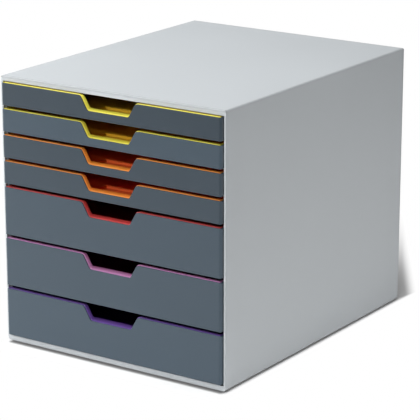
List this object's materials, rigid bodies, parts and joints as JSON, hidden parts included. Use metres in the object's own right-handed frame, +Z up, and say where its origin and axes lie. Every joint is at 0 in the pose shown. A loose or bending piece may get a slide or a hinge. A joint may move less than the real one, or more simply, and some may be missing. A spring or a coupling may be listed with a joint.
{
  "type": "drawer box",
  "caption": "Desktop drawer box: grey moulded case with thin drawers above tall ones, each a coloured tray with a dark front cover and a finger cut-out.",
  "frame": {"origin": "middle of the footprint on the table, between the front faces of the drawers and the back edge of the case", "axes": "+X to the right as seen from the front, +Y to the back, +Z up"},
  "size_m": [0.28, 0.356, 0.292],
  "materials": {
    "case": "light grey, satin, finely grained",
    "rack": "grey, satin",
    "cover": "slate blue-grey, satin",
    "tray_yellow": "coloured through, satin",
    "tray_orange": "coloured through, satin",
    "tray_red": "coloured through, satin",
    "tray_pink": "coloured through, satin",
    "tray_purple": "coloured through, satin",
    "foot": "dark, matt"
  },
  "bodies": {
    "case": {"case_shell": "case", "back_panel": "case", "runner_rack_left": "rack", "runner_rack_right": "rack", "foot_front_left": "foot", "foot_front_right": "foot", "foot_rear_left": "foot", "foot_rear_right": "foot"},
    "drawer_1": {"tray_1": "tray_yellow", "front_1": "cover"},
    "drawer_2": {"tray_2": "tray_yellow", "front_2": "cover"},
    "drawer_3": {"tray_3": "tray_orange", "front_3": "cover"},
    "drawer_4": {"tray_4": "tray_orange", "front_4": "cover"},
    "drawer_5": {"tray_5": "tray_red", "front_5": "cover"},
    "drawer_6": {"tray_6": "tray_pink", "front_6": "cover"},
    "drawer_7": {"tray_7": "tray_purple", "front_7": "cover"}
  },
  "joints": [
    {"name": "drawer_1_slide", "type": "slide", "parent": "case", "child": "drawer_1", "axis": [0, -1, 0], "range_m": [0, 0.25]},
    {"name": "drawer_2_slide", "type": "slide", "parent": "case", "child": "drawer_2", "axis": [0, -1, 0], "range_m": [0, 0.25]},
    {"name": "drawer_3_slide", "type": "slide", "parent": "case", "child": "drawer_3", "axis": [0, -1, 0], "range_m": [0, 0.25]},
    {"name": "drawer_4_slide", "type": "slide", "parent": "case", "child": "drawer_4", "axis": [0, -1, 0], "range_m": [0, 0.25]},
    {"name": "drawer_5_slide", "type": "slide", "parent": "case", "child": "drawer_5", "axis": [0, -1, 0], "range_m": [0, 0.25]},
    {"name": "drawer_6_slide", "type": "slide", "parent": "case", "child": "drawer_6", "axis": [0, -1, 0], "range_m": [0, 0.25]},
    {"name": "drawer_7_slide", "type": "slide", "parent": "case", "child": "drawer_7", "axis": [0, -1, 0], "range_m": [0, 0.25]}
  ]
}
